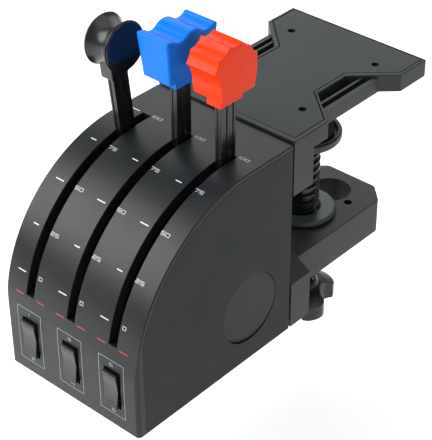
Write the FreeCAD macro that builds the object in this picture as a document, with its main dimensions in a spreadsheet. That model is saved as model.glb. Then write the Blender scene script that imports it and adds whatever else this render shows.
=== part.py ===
"""Desk-clamped three-lever throttle quadrant.

Parametric FreeCAD document.  Millimetres, +X to the user's right, +Y away from
the user (towards the desk), +Z up.  The origin is the middle of the clamp's
seat: the underside of the grip pad under the top plate, on the clamp screw's
axis.

Every piece is drawn in a local frame and then placed.  The fixed pieces share
one local frame, the housing frame, whose zero is the middle of the housing's
lower front edge.  Levers, pinions, rockers and clamp pieces are drawn about
their own axis.
"""
import FreeCAD, Part
import math
import os
import Sketcher
from FreeCAD import Vector, Placement, Rotation

doc = FreeCAD.newDocument("throttle_quadrant")
sheet = doc.addObject("Spreadsheet::Sheet", "dims")
sheet.Label = "dims"


# ---------------------------------------------------------------- dimensions
class Q:
    """A number together with the sheet expression that gives it."""

    def __init__(self, value, text=None):
        self.v = float(value)
        self.t = text if text is not None else "(%r)" % float(value)

    def _op(self, other, sign, flip=False):
        o = other if isinstance(other, Q) else Q(other)
        a, b = (o, self) if flip else (self, o)
        if sign == "+":
            v = a.v + b.v
        elif sign == "-":
            v = a.v - b.v
        elif sign == "*":
            v = a.v * b.v
        else:
            v = a.v / b.v
        return Q(v, "(%s %s %s)" % (a.t, sign, b.t))

    def __add__(self, o): return self._op(o, "+")
    def __radd__(self, o): return self._op(o, "+", True)
    def __sub__(self, o): return self._op(o, "-")
    def __rsub__(self, o): return self._op(o, "-", True)
    def __mul__(self, o): return self._op(o, "*")
    def __rmul__(self, o): return self._op(o, "*", True)
    def __truediv__(self, o): return self._op(o, "/")
    def __neg__(self): return Q(-self.v, "(-1 * %s)" % self.t)


def num(q):
    return q.v if isinstance(q, Q) else float(q)


D = {}
DIMS = [
    # housing
    ("housing_width", 118.0, "overall width of the housing"),
    ("housing_depth", 147.0, "front face to rear face"),
    ("arc_radius", 106.0, "radius of the curved cover about the lever pivot"),
    ("pivot_height", 42.0, "pivot axis above the housing's base"),
    ("wall", 2.0, "cover and panel thickness"),
    ("corner_round", 3.2, "rounding of the two front corners, seen from above"),
    ("seam_gap", 0.3, "visible seam between cover and side panel"),
    ("slot_width", 7.0, "width of each lever slot"),
    ("slot_end", 114.0, "rear end of each lever slot, from the front face"),
    ("cap_radius", 26.0, "round opening over the shaft end in each side"),
    # levers
    ("lever_pitch", 37.2, "spacing of the three levers"),
    ("lever_thick", 5.3, "lever bar across the slot"),
    ("lever_deep", 13.0, "lever bar along the slot"),
    ("lever_length", 163.0, "pivot to the top of the bar, inside the knob"),
    ("hub_radius", 10.0, "lever hub"),
    ("hub_half", 7.5, "half length of the lever hub"),
    ("shaft_radius", 4.0, "pivot shaft"),
    ("run_clearance", 0.05, "radial running clearance on every journal"),
    ("throttle_lean", 6.6, "rest angle of the throttle lever, forward of upright"),
    ("upright_lean", -0.4, "rest angle of the other two levers"),
    # sensing
    ("gear_centre", 28.0, "pivot to pinion axis"),
    ("pot_radius", 8.0, "potentiometer body"),
    # rockers
    ("rocker_open_w", 14.0, "rocker opening width"),
    ("rocker_open_h", 29.5, "rocker opening height"),
    ("rocker_centre", 30.45, "rocker axis above the base"),
    ("rocker_depth", 6.0, "rocker axis behind the front face"),
    ("rocker_width", 11.7, "rocker paddle width"),
    # clamp bracket
    ("clamp_y", 232.0, "clamp screw axis behind the front face"),
    ("seat_z", 135.5, "clamp seat above the housing's base"),
    ("plate_top", 150.0, "top plate height"),
    ("plate_under", 137.0, "underside of the top plate"),
    ("grip_thick", 1.5, "grip pad under the top plate"),
    ("screw_hole_r", 2.75, "four desk screw holes in the top plate"),
    ("screw_hole_x", 37.0, "half spacing of the desk screw holes, across"),
    ("screw_hole_y1", 183.0, "front pair of desk screw holes"),
    ("screw_hole_y2", 261.7, "rear pair of desk screw holes"),
    ("arm_half", 35.1, "half width of the clamp arm"),
    ("arm_thick", 28.0, "clamp arm thickness"),
    ("arm_end", 292.3, "rear end of the clamp arm"),
    ("nut_bore_r", 15.0, "either bore in the arm that takes the flanged nut"),
    ("second_bore_y", 267.0, "second nut bore, for deeper desks"),
    ("thread_crest", 12.9, "clamp screw, over the thread"),
    ("thread_core", 10.6, "clamp screw, under the thread"),
    ("thread_pitch", 6.4, "clamp screw pitch"),
    ("pad_radius", 27.4, "pressure pad"),
    ("knob_tip_r", 28.4, "clamp knob over the lobes"),
]
for row, (alias, value, note) in enumerate(DIMS, start=1):
    sheet.set("A%d" % row, note)
    sheet.set("B%d" % row, repr(float(value)))
    sheet.setAlias("B%d" % row, alias)
    D[alias] = Q(value, "dims." + alias)
doc.recompute()

W = D["housing_width"]
HW = W / 2
DEPTH = D["housing_depth"]
R = D["arc_radius"]
PZ = D["pivot_height"]
PY = R                                   # the arc starts tangent to the front face
TOP = PZ + R
WALL = D["wall"]
PITCH = D["lever_pitch"]
LEVERS = [("throttle", -1, "throttle_lean"), ("propeller", 0, "upright_lean"), ("mixture", 1, "upright_lean")]


# ------------------------------------------------------------------- helpers
def bind(obj, prop, q):
    """Give a property its number, and its expression if it comes from the sheet."""
    if isinstance(q, Q) and "dims." in q.t:
        obj.setExpression(prop, q.t)
    else:
        setattr(obj, prop, num(q))


def place(obj, x=0.0, y=0.0, z=0.0, rot=None):
    obj.Placement = Placement(Vector(num(x), num(y), num(z)), rot if rot is not None else Rotation())
    for axis, q in (("x", x), ("y", y), ("z", z)):
        if isinstance(q, Q) and "dims." in q.t:
            obj.setExpression("Placement.Base." + axis, q.t)
    return obj


def box(name, x0, x1, y0, y1, z0, z1):
    o = doc.addObject("Part::Box", name)
    bind(o, "Length", x1 - x0)
    bind(o, "Width", y1 - y0)
    bind(o, "Height", z1 - z0)
    return place(o, x0, y0, z0)


ROT = {"x": Rotation(Vector(0, 1, 0), 90), "y": Rotation(Vector(1, 0, 0), -90), "z": Rotation()}


def cyl(name, axis, x, y, z, r, length):
    """Cylinder from (x, y, z) along the positive axis."""
    o = doc.addObject("Part::Cylinder", name)
    bind(o, "Radius", r)
    bind(o, "Height", length)
    return place(o, x, y, z, ROT[axis])


def fuse(name, *objs):
    o = doc.addObject("Part::MultiFuse", name)
    o.Shapes = list(objs)
    return o


def cut(name, base, *tools):
    o = doc.addObject("Part::Cut", name)
    o.Base = base
    o.Tool = tools[0] if len(tools) == 1 else fuse(name + "_tools", *tools)
    return o


def common(name, a, b):
    o = doc.addObject("Part::Common", name)
    o.Base, o.Tool = a, b
    return o


def mirror_x(name, src):
    o = doc.addObject("Part::Mirroring", name)
    o.Source = src
    o.Normal = Vector(1, 0, 0)
    o.Base = Vector(0, 0, 0)
    return o


def group(name, *objs):
    o = doc.addObject("Part::Compound", name)
    o.Links = list(objs)
    return o


def role_plane(body, role):
    for f in body.Origin.OriginFeatures:
        if f.Role == role:
            return f
    raise RuntimeError("no plane " + role)


def arc_through(p0, pm, p1):
    """Centre, radius and direction of the arc p0 -> pm -> p1."""
    ax, ay, bx, by, cx, cy = p0[0], p0[1], pm[0], pm[1], p1[0], p1[1]
    d = 2 * (ax * (by - cy) + bx * (cy - ay) + cx * (ay - by))
    ux = ((ax * ax + ay * ay) * (by - cy) + (bx * bx + by * by) * (cy - ay) + (cx * cx + cy * cy) * (ay - by)) / d
    uy = ((ax * ax + ay * ay) * (cx - bx) + (bx * bx + by * by) * (ax - cx) + (cx * cx + cy * cy) * (bx - ax)) / d
    ccw = (bx - ax) * (cy - ay) - (by - ay) * (cx - ax) > 0
    return (ux, uy), math.hypot(ax - ux, ay - uy), ccw


def add_loop(sk, verts, arcs, tag):
    """A closed, fully constrained outline.  verts are (q, q); arcs maps an edge
    number to ("mid", (x, y)) or ("rad", (cx, cy), radius, counter-clockwise)."""
    n = len(verts)
    xy = [(num(a), num(b)) for a, b in verts]
    ends = []
    for i in range(n):
        a, b = xy[i], xy[(i + 1) % n]
        spec = arcs.get(i)
        if spec is None:
            g = sk.addGeometry(Part.LineSegment(Vector(a[0], a[1], 0), Vector(b[0], b[1], 0)))
            ends.append((g, 1, 2))
            continue
        if spec[0] == "mid":
            c, r, ccw = arc_through(a, spec[1], b)
            rq = r
        else:
            c, rq, ccw = (num(spec[1][0]), num(spec[1][1])), spec[2], spec[3]
            r = num(rq)
        s, e = (a, b) if ccw else (b, a)
        a0 = math.atan2(s[1] - c[1], s[0] - c[0])
        a1 = math.atan2(e[1] - c[1], e[0] - c[0])
        while a1 <= a0:
            a1 += 2 * math.pi
        g = sk.addGeometry(Part.ArcOfCircle(Part.Circle(Vector(c[0], c[1], 0), Vector(0, 0, 1), r), a0, a1))
        ends.append((g, 1, 2) if ccw else (g, 2, 1))
        k = sk.addConstraint(Sketcher.Constraint("Radius", g, r))
        sk.renameConstraint(k, "%s_r%d" % (tag, i))
        if isinstance(rq, Q) and "dims." in rq.t:
            sk.setExpression("Constraints.%s_r%d" % (tag, i), rq.t)
    for i in range(n):
        j = (i + 1) % n
        sk.addConstraint(Sketcher.Constraint("Coincident", ends[i][0], ends[i][2], ends[j][0], ends[j][1]))
    for i, (qx, qy) in enumerate(verts):
        g, pos = ends[i][0], ends[i][1]
        for axis, q, kind, line in (("x", qx, "DistanceX", -2), ("y", qy, "DistanceY", -1)):
            bound = isinstance(q, Q) and "dims." in q.t
            if not bound and abs(num(q)) < 1e-9:
                sk.addConstraint(Sketcher.Constraint("PointOnObject", g, pos, line))
                continue
            k = sk.addConstraint(Sketcher.Constraint(kind, -1, 1, g, pos, num(q)))
            name = "%s_%s%d" % (tag, axis, i)
            sk.renameConstraint(k, name)
            if bound:
                sk.setExpression("Constraints." + name, q.t)


def add_circle(sk, x, y, r, tag):
    g = sk.addGeometry(Part.Circle(Vector(num(x), num(y), 0), Vector(0, 0, 1), num(r)))
    for axis, q, kind, line in (("x", x, "DistanceX", -2), ("y", y, "DistanceY", -1)):
        bound = isinstance(q, Q) and "dims." in q.t
        if not bound and abs(num(q)) < 1e-9:
            sk.addConstraint(Sketcher.Constraint("PointOnObject", g, 3, line))
            continue
        k = sk.addConstraint(Sketcher.Constraint(kind, -1, 1, g, 3, num(q)))
        sk.renameConstraint(k, "%s_%s" % (tag, axis))
        if bound:
            sk.setExpression("Constraints.%s_%s" % (tag, axis), q.t)
    k = sk.addConstraint(Sketcher.Constraint("Radius", g, num(r)))
    sk.renameConstraint(k, tag + "_r")
    if isinstance(r, Q) and "dims." in r.t:
        sk.setExpression("Constraints.%s_r" % tag, r.t)


NORMAL = {"XY": 1, "YZ": 1, "XZ": -1}


def prism(name, plane, verts, a0, a1, arcs=None, circles=()):
    """A body made by padding a sketch on XY, YZ or XZ from a0 to a1 along the
    axis across that plane."""
    body = doc.addObject("PartDesign::Body", name)
    sk = body.newObject("Sketcher::SketchObject", name + "_sketch")
    sk.AttachmentSupport = [(role_plane(body, plane + "_Plane"), "")]
    sk.MapMode = "FlatFace"
    if verts:
        add_loop(sk, verts, arcs or {}, "o")
    for i, (x, y, r) in enumerate(circles):
        add_circle(sk, x, y, r, "c%d" % i)
    start = a0 if NORMAL[plane] > 0 else -(a1 if isinstance(a1, Q) else Q(a1))
    sk.AttachmentOffset = Placement(Vector(0, 0, num(start)), Rotation())
    if isinstance(start, Q) and "dims." in start.t:
        sk.setExpression("AttachmentOffset.Base.z", start.t)
    p = body.newObject("PartDesign::Pad", name + "_pad")
    p.Profile = sk
    bind(p, "Length", a1 - a0)
    body.Tip = p
    return body


def revolved(name, plane, verts, axis, arcs=None):
    """A body revolved about the sketch's own X ("H") or Y ("V") axis."""
    body = doc.addObject("PartDesign::Body", name)
    sk = body.newObject("Sketcher::SketchObject", name + "_sketch")
    sk.AttachmentSupport = [(role_plane(body, plane + "_Plane"), "")]
    sk.MapMode = "FlatFace"
    add_loop(sk, verts, arcs or {}, "o")
    r = body.newObject("PartDesign::Revolution", name + "_rev")
    r.Profile = sk
    r.ReferenceAxis = (sk, [axis + "_Axis"])
    r.Angle = 360.0
    body.Tip = r
    return body


def edges_where(shape, test):
    out = []
    for i, e in enumerate(shape.Edges, start=1):
        if test(e):
            out.append(i)
    return out


def body_fillet(body, radius, test):
    """PartDesign fillet on the edges of the body's tip that pass the test."""
    doc.recompute()
    tip = body.Tip
    ids = edges_where(tip.Shape, test)
    f = body.newObject("PartDesign::Fillet", body.Name + "_fillet")
    f.Base = (tip, ["Edge%d" % i for i in ids])
    bind(f, "Radius", radius)
    body.Tip = f
    doc.recompute()
    return body


def part_fillet(name, base, radius, test):
    doc.recompute()
    o = doc.addObject("Part::Fillet", name)
    o.Base = base
    o.Edges = [(i, radius, radius) for i in edges_where(base.Shape, test)]
    doc.recompute()
    return o


def whole(name, shape):
    o = doc.addObject("Part::Feature", name)
    o.Shape = shape
    return o


FINAL = []


def final(obj, label, x=0.0, y=None, z=None, rot=None):
    """Name a finished sub-part and place it.  By default it was drawn in the
    housing frame, so it moves with that frame to the clamp seat's origin."""
    if y is None:
        y = -D["clamp_y"]
    if z is None:
        z = -D["seat_z"]
    obj.Label = label
    place(obj, x, y, z, rot)
    FINAL.append(obj)
    return obj


def HY(y):
    """Housing-frame depth as a depth from the origin."""
    return (y if isinstance(y, Q) else Q(y)) - D["clamp_y"]


def HZ(z):
    return (z if isinstance(z, Q) else Q(z)) - D["seat_z"]


def near(a, b, tol=0.05):
    return abs(a - b) < tol


# ================================================================== housing
def side_outline(inset, y_front, y_rear, z_low, gap=0.0):
    """Side view of the housing, inset from the outer skin."""
    r = R - inset - gap
    zf = math.sqrt(num(r) ** 2 - (num(PY) - num(y_front)) ** 2)
    verts = [(y_front, z_low), (y_front, PZ + zf), (PY, PZ + r), (y_rear, PZ + r), (y_rear, z_low)]
    arcs = {1: ("rad", (PY, PZ), r, False)}
    return verts, arcs


# -- curved cover: front face, quarter-round and top in one moulding, wrapping
#    round the two front corners
SC, SS = math.cos(math.radians(12.6)), math.sin(math.radians(12.6))
full_v = [(0, 0), (0, PZ), (PY - R * SC, PZ + R * SS), (PY, TOP), (DEPTH, TOP), (DEPTH, 0)]
full_a = {1: ("rad", (PY, PZ), R, False), 2: ("rad", (PY, PZ), R, False)}
outer_prof = prism("cover_outer", "YZ", full_v, -HW, HW, full_a)
outer_prof.Tip.Refine = False
cr = D["corner_round"]
plan = prism("cover_plan", "XY",
             [(-HW + cr + 0.1, -0.1), (HW - cr - 0.1, -0.1), (HW, cr), (HW, DEPTH + 1), (-HW, DEPTH + 1), (-HW, cr)],
             -1.0, TOP + 1,
             {1: ("rad", (HW - cr - 0.1, cr), cr + 0.1, True), 5: ("rad", (-HW + cr + 0.1, cr), cr + 0.1, True)})
cover_solid = common("cover_solid", outer_prof, plan)
in_prof = prism("cover_inner", "YZ",
                [(WALL, -1), (WALL, PZ), (PY - (R - WALL) * SC, PZ + (R - WALL) * SS), (PY, TOP - WALL),
                 (DEPTH + 1, TOP - WALL), (DEPTH + 1, -1)],
                -HW + WALL, HW - WALL,
                {1: ("rad", (PY, PZ), R - WALL, False), 2: ("rad", (PY, PZ), R - WALL, False)})
in_prof.Tip.Refine = False
icr = cr - WALL
in_plan = prism("cover_inner_plan", "XY",
                [(-HW + WALL + icr, WALL), (HW - WALL - icr, WALL), (HW - WALL, WALL + icr), (HW - WALL, DEPTH + 1),
                 (-HW + WALL, DEPTH + 1), (-HW + WALL, WALL + icr)],
                -1.0, TOP,
                {1: ("rad", (HW - WALL - icr, WALL + icr), icr, True),
                 5: ("rad", (-HW + WALL + icr, WALL + icr), icr, True)})
cover_void = common("cover_void", in_prof, in_plan)
cover_solid.Refine = cover_void.Refine = False
wv, wa = side_outline(WALL + 0.4, Q(6.0), DEPTH + 1, -1.0)
window = prism("panel_window", "YZ", wv, -HW - 1, HW + 1, wa)


def slot_prism(name, x, half, r_in, r_out, phi, y_end):
    """Ring segment about the pivot that runs on flat along the top."""
    c, s = math.cos(math.radians(phi)), math.sin(math.radians(phi))
    ri, ro = num(r_in), num(r_out)
    verts = [(PY - ri * c, PZ + ri * s), (PY - ro * c, PZ + ro * s), (PY, PZ + r_out), (y_end, PZ + r_out),
             (y_end, PZ + r_in), (PY, PZ + r_in)]
    arcs = {1: ("rad", (PY, PZ), r_out, False), 5: ("rad", (PY, PZ), r_in, True)}
    return prism(name, "YZ", verts, x - half, x + half, arcs)


slots = [slot_prism("slot_%d" % (i + 1), PITCH * (i - 1), D["slot_width"] / 2, Q(96.0), Q(110.0), 11.3, D["slot_end"])
         for i in range(3)]
RW, RH, RZ = D["rocker_open_w"], D["rocker_open_h"], D["rocker_centre"]
opens = [box("rocker_open_%d" % (i + 1), PITCH * (i - 1) - RW / 2, PITCH * (i - 1) + RW / 2, -1.0, 5.0,
             RZ - RH / 2, RZ + RH / 2) for i in range(3)]
shell = cut("cover_shell", cover_solid, cover_void, window)
shell.Refine = False
# rounded long edges along the quarter-round and the top
shell_f = part_fillet("cover_edges", shell, 0.9, lambda e: near(abs(e.BoundBox.Center.x), 59.0, 0.02)
                      and e.BoundBox.XLength < 0.02 and e.BoundBox.ZMax > 60
                      and (near(e.BoundBox.ZMax, 148.0, 0.01) and (e.BoundBox.ZMin > 147.9 or e.BoundBox.ZLength > 50)
                           and not (e.BoundBox.YLength < 0.01)))
open_shell = cut("cover_open", shell_f, *(slots + opens))
open_shell.Refine = False
slot_edges = part_fillet("cover_slot_edges", open_shell, 0.45,
                         lambda e: any(near(abs(e.BoundBox.Center.x), v, 0.02) for v in (3.5, 33.7, 40.7))
                         and e.BoundBox.XLength < 0.02 and e.BoundBox.ZMax > 100
                         and (near(e.BoundBox.ZMax, 148.0, 0.01)) and e.BoundBox.YLength > 5)
posts = [cyl("front_post_%d" % i, "z", sx * 48.0, 5.5, 3.4, 4.0, 9.4) for i, sx in enumerate((-1, 1))]
post_holes = [cyl("front_post_hole_%d" % i, "z", sx * 48.0, 5.5, 3.0, 1.35, 8.0) for i, sx in enumerate((-1, 1))]
cover_p = fuse("cover_posts", slot_edges, *posts)
cover = cut("curved_cover", cover_p, *post_holes)
cover_p.Refine = cover.Refine = False
final(cover, "curved_cover")

# -- side panels, with a lip that tucks inside the cover
pv, pa = side_outline(WALL + 0.4, Q(6.05), DEPTH, 0.0, D["seam_gap"])
plate_r = prism("side_plate", "YZ", pv, HW - WALL, HW, pa)
ro = R - WALL - 0.4 - D["seam_gap"]
ri = ro - 1.6
zo = math.sqrt(num(ro) ** 2 - (num(PY) - 6.05) ** 2)
zi = math.sqrt(num(ri) ** 2 - (num(PY) - 7.65) ** 2)
lip = prism("side_lip", "YZ",
            [(6.05, 5.0), (6.05, PZ + zo), (PY, PZ + ro), (DEPTH - 2.2, PZ + ro), (DEPTH - 2.2, 5.0),
             (DEPTH - 3.8, 5.0), (DEPTH - 3.8, PZ + ri), (PY, PZ + ri), (7.65, PZ + zi), (7.65, 5.0)],
            HW - WALL - 3.0, HW - WALL + 0.5,
            {1: ("rad", (PY, PZ), ro, False), 7: ("rad", (PY, PZ), ri, True)})
cap_open = cyl("cap_open", "x", 50.0, PY, PZ, D["cap_radius"], 20.0)
panel_core = cut("side_panel_core", fuse("side_body", plate_r, lip), cap_open)
panel_r = group("side_panel_r", panel_core)
panel_l0 = mirror_x("side_panel_l0", panel_core)
inlet_open = box("inlet_open", -62.0, -50.0, 33.7, 46.3, 9.3, 20.9)
panel_l = cut("side_panel_l", panel_l0, inlet_open)
final(panel_r, "side_panel_right")
final(panel_l, "side_panel_left")

# -- round caps over the shaft ends, snapped in from inside; their face leans
#    inwards towards the front
cap_face = cyl("cap_face", "x", HW - WALL - 0.2, PY, PZ, D["cap_radius"] - 0.45, WALL + 0.2)
cap_rim = cyl("cap_rim", "x", HW - WALL - 1.4, PY, PZ, D["cap_radius"] + 2.0, 1.3)
cap_body = fuse("cap_body", cap_face, cap_rim)
cap_wedge = prism("cap_wedge", "XY", [(56.85, 79.0), (58.95, 133.0), (62.0, 133.0), (62.0, 79.0)], 10.0, 74.0)
cap_core = cut("pivot_cap_core", cap_body, cap_wedge)
cap_r = group("pivot_cap_r", cap_core)
cap_l = mirror_x("pivot_cap_l", cap_core)
final(cap_r, "pivot_cap_right")
final(cap_l, "pivot_cap_left")

# -- rear panel between the side panels
BOLTS = [(-34.0, 18.0), (34.0, 18.0), (-34.0, 122.0), (34.0, 122.0)]
rear_plate = box("rear_plate", -HW + WALL + 0.2, HW - WALL - 0.2, DEPTH - WALL, DEPTH, 0.5, TOP - WALL - 0.1)
rear_posts = [cyl("rear_post_%d" % i, "z", sx * 46.0, 140.4, 3.4, 4.0, 10.0) for i, sx in enumerate((-1, 1))]
rear_webs = [box("rear_web_%d" % i, sx * 46.0 - 1.0, sx * 46.0 + 1.0, 141.0, 145.5, 3.4, 13.4) for i, sx in enumerate((-1, 1))]
rear_holes = [cyl("rear_hole_%d" % i, "y", x, 140.0, z, 2.4, 12.0) for i, (x, z) in enumerate(BOLTS)]
rear_post_holes = [cyl("rear_post_hole_%d" % i, "z", sx * 46.0, 140.4, 3.0, 1.35, 8.0) for i, sx in enumerate((-1, 1))]
rear = cut("rear_panel", fuse("rear_body", rear_plate, *(rear_posts + rear_webs)), *(rear_holes + rear_post_holes))
final(rear, "rear_panel")

# -- base plate, with four countersunk holes
bx, by0, by1, br = HW - WALL - 0.2, WALL + 0.2, DEPTH - WALL - 0.2, 4.0
base_raw = prism("base_raw", "XY",
                 [(-bx + br, by0), (bx - br, by0), (bx, by0 + br), (bx, by1), (-bx, by1), (-bx, by0 + br)],
                 0.8, 3.3,
                 {1: ("rad", (bx - br, by0 + br), Q(br), True), 5: ("rad", (-bx + br, by0 + br), Q(br), True)})
FEET = [(-48.0, 5.5), (48.0, 5.5), (-46.0, 140.4), (46.0, 140.4)]


def screw_z(name, x, y, z_head, up, r_head, head, r_shank, length):
    """Countersunk screw along Z: its head face at z_head, its shank going up or down."""
    s = 1.0 if up else -1.0
    rot = Rotation() if up else Rotation(Vector(1, 0, 0), 180)
    cone = doc.addObject("Part::Cone", name + "_head")
    cone.Radius1, cone.Radius2, cone.Height = r_head, r_shank, head
    place(cone, x, y, z_head, rot)
    sh = doc.addObject("Part::Cylinder", name + "_shank")
    sh.Radius, sh.Height = r_shank, length
    place(sh, x, y, (z_head if isinstance(z_head, Q) else Q(z_head)) + s * (head - 0.01), rot)
    drive = doc.addObject("Part::Prism", name + "_drive")
    drive.Polygon, drive.Circumradius, drive.Height = 6, r_shank * 0.85, head * 0.8
    place(drive, x, y, z_head, rot)
    return cut(name, fuse(name + "_f", cone, sh), drive)


def cone_tool(name, x, y, z, up, r1, r2, height):
    cone = doc.addObject("Part::Cone", name)
    cone.Radius1, cone.Radius2, cone.Height = r1, r2, height
    return place(cone, x, y, z, Rotation() if up else Rotation(Vector(1, 0, 0), 180))


base_tools = []
for i, (x, y) in enumerate(FEET):
    base_tools.append(cyl("base_hole_%d" % i, "z", x, y, 0.0, 1.6, 6.0))
    base_tools.append(cone_tool("base_sink_%d" % i, x, y, 0.7, True, 3.2, 1.4, 1.9))
base = cut("base_plate", base_raw, *base_tools)
final(base, "base_plate")
final(group("housing_screws", *[screw_z("housing_screw_%d" % i, x, y, 0.95, True, 2.8, 1.6, 1.3, 7.5)
                                for i, (x, y) in enumerate(FEET)]), "housing_screws")

# ======================================================= pivot and its supports
SR = D["shaft_radius"]
RC = D["run_clearance"]
shaft = cyl("shaft_rod", "x", -54.5, PY, PZ, SR, 109.0)
grooves = []
for i, x in enumerate((-53.6, 52.5)):
    ring = cut("clip_groove_%d" % i, cyl("clip_groove_o%d" % i, "x", x, PY, PZ, SR + 1, 1.1),
               cyl("clip_groove_i%d" % i, "x", x - 0.5, PY, PZ, SR - 0.6, 2.1))
    grooves.append(ring)
final(cut("pivot_shaft", shaft, *grooves), "pivot_shaft")
clips = []
for i, x in enumerate((-53.5, 52.6)):
    clips.append(cut("shaft_clip_%d" % i, cyl("clip_o%d" % i, "x", x, PY, PZ, 6.2, 0.9),
                     cyl("clip_i%d" % i, "x", x - 0.5, PY, PZ, SR - 0.55, 2.0),
                     box("clip_gap%d" % i, x - 0.5, x + 1.5, PY - 1.6, PY + 1.6, PZ - 8, PZ - 2)))
final(group("shaft_clips", *clips), "shaft_clips")


def support(name, s):
    """Upright that straddles the potentiometer, with two feet; s is -1 on the
    left, 1 on the right."""
    lo, hi = (48.2, 52.3)
    xs = sorted((s * lo, s * hi))
    up = prism(name + "_up", "YZ",
               [(PY - 15, 3.3), (PY - 10.2, 3.3), (PY - 10.2, 24.5), (PY + 10.2, 24.5), (PY + 10.2, 3.3), (PY + 15, 3.3),
                (PY + 15, 28.0), (PY + 8, PZ + 6), (PY + 5, PZ + 8.5), (PY - 5, PZ + 8.5), (PY - 8, PZ + 6), (PY - 15, 28.0)],
               xs[0], xs[1])
    xf = sorted((s * 41.0, s * hi))
    feet = [box(name + "_foot%d" % k, xf[0], xf[1], PY + y - 2.4, PY + y + 2.4, 3.3, 5.3)
            for k, y in enumerate((-12.6, 12.6))]
    hole = cyl(name + "_bore", "x", xs[0] - 2, PY, PZ, SR + 0.02, 9.0)
    scr = [cyl(name + "_s%d" % k, "z", s * 44.6, PY + dy, 2.0, 1.6, 6.0) for k, dy in enumerate((-12.6, 12.6))]
    return cut(name, fuse(name + "_b", up, *feet), hole, *scr)


final(support("support_left", -1), "shaft_support_left")
final(support("support_right", 1), "shaft_support_right")

HH = D["hub_half"]


def tube(name, x0, x1, r_out, r_in):
    return cut(name, cyl(name + "_o", "x", x0, PY, PZ, r_out, x1 - x0),
               cyl(name + "_i", "x", x0 - 1, PY, PZ, r_in, x1 - x0 + 2))


spacers = [tube("spacer_a", -PITCH + HH + 1.3, -HH - 1.3, Q(7.0), SR + RC),
           tube("spacer_b", HH + 1.3, PITCH - HH - 1.3, Q(7.0), SR + RC),
           tube("spacer_c", Q(-48.1), -PITCH - HH - 1.3, Q(7.0), SR + RC),
           tube("spacer_d", PITCH + HH + 1.3, Q(48.1), Q(7.0), SR + RC)]
final(group("shaft_spacers", *spacers), "shaft_spacers")
washers = []
for i in range(3):
    c = PITCH * (i - 1)
    washers.append(tube("washer_%da" % i, c - HH - 1.2, c - HH - 0.2, Q(9.0), SR + RC))
    washers.append(tube("washer_%db" % i, c + HH + 0.2, c + HH + 1.2, Q(9.0), SR + RC))
final(group("friction_washers", *washers), "friction_washers")


# =================================================================== levers
def involute(rb, r):
    return math.sqrt(max((r / rb) ** 2 - 1.0, 0.0)) - math.acos(min(1.0, rb / r))


def tooth_flank(teeth, module, add, ded, thin):
    """Half-thickness angle against radius, root to tip, for one tooth."""
    rp = teeth * module / 2.0
    rb = rp * math.cos(math.radians(20.0))
    half = (math.pi / teeth) * 0.5 * thin
    inv_p = involute(rb, rp)
    out = []
    r0, r1 = rp - ded, rp + add
    for k in range(5):
        r = r0 + (r1 - r0) * k / 4.0
        if r <= rb:
            ang = half + inv_p
        else:
            ang = half + inv_p - involute(rb, r)
        out.append((r, ang))
    return out


MODULE, GEAR_TEETH, PINION_TEETH = 1.0, 44, 12


def tooth_points(teeth, thin, add, ded, centres):
    """Outline round the given tooth centres (radians from the start direction)."""
    prof = tooth_flank(teeth, MODULE, add, ded, thin)
    pts = []
    for c in centres:
        for r, a in prof:
            pts.append((r, c - a))
        for r, a in reversed(prof):
            pts.append((r, c + a))
    return pts


def lever_shape(part):
    pitch = 2 * math.pi / GEAR_TEETH
    # spaces centred on straight down, teeth on either side of it
    centres = [(k + 0.5) * pitch for k in range(-3, 12)]
    return tooth_points(GEAR_TEETH, 0.80, 0.8, 1.15, centres)


def yz(r, a):
    """Angle measured from straight down (-Z) towards the front (-Y)."""
    return -r * math.sin(a), -r * math.cos(a)


def plate_from(points, x0, x1):
    w = Part.makePolygon([Vector(x0, y, z) for y, z in points] + [Vector(x0, points[0][0], points[0][1])])
    return Part.Face(w).extrude(Vector(x1 - x0, 0, 0))


LT, LD, LL = D["lever_thick"], D["lever_deep"], D["lever_length"]
pts = lever_shape(None)
first, last = pts[0], pts[-1]
sector_pts = [yz(r, a) for r, a in pts] + [yz(6.0, last[1] + 0.02), yz(6.0, first[1] - 0.02)]
sector_shape = plate_from(sector_pts, -num(HH), -num(HH) + 4.0)
pocket = plate_from([yz(18.2, math.radians(a)) for a in range(6, 71, 8)]
                    + [yz(12.6, math.radians(a)) for a in range(70, 5, -8)], -num(HH) - 1, -num(HH) + 5.0)
sector_shape = sector_shape.cut(pocket)


def lever(name):
    bar = box(name + "_bar", -LT / 2, LT / 2, -LD / 2, LD / 2, 5.0, LL)
    hub = cyl(name + "_hub", "x", -HH, 0, 0, D["hub_radius"], HH * 2)
    sector = whole(name + "_sector", sector_shape.copy())
    # tapered web between hub and bar
    web = prism(name + "_web", "YZ", [(-9.5, 2.0), (9.5, 2.0), (6.5, 30.0), (-6.5, 30.0)], -LT / 2, LT / 2)
    bore = cyl(name + "_bore", "x", -20.0, 0, 0, SR + RC, 40.0)
    cuts = [bore]
    for k, (s, y0, y1) in enumerate([(-1, -4.9, -0.9), (-1, 0.9, 4.9), (1, -4.9, -0.9), (1, 0.9, 4.9)]):
        xs = sorted((s * num(LT) / 2 - s * 0.65, s * num(LT) / 2 + s * 1.0))
        cuts.append(box("%s_rib%d" % (name, k), xs[0], xs[1], y0, y1, 34.0, 148.0))
    for k, s in enumerate((-1, 1)):
        ys = sorted((s * num(LD) / 2 - s * 0.5, s * num(LD) / 2 + s * 1.0))
        cuts.append(box("%s_face%d" % (name, k), -1.3, 1.3, ys[0], ys[1], 34.0, 148.0))
    return cut(name, fuse(name + "_f", bar, hub, sector, web), *cuts)


def rot_x(deg):
    return Rotation(Vector(1, 0, 0), deg)


LEAN = {"throttle": 6.6, "propeller": -0.4, "mixture": -0.4}


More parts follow.
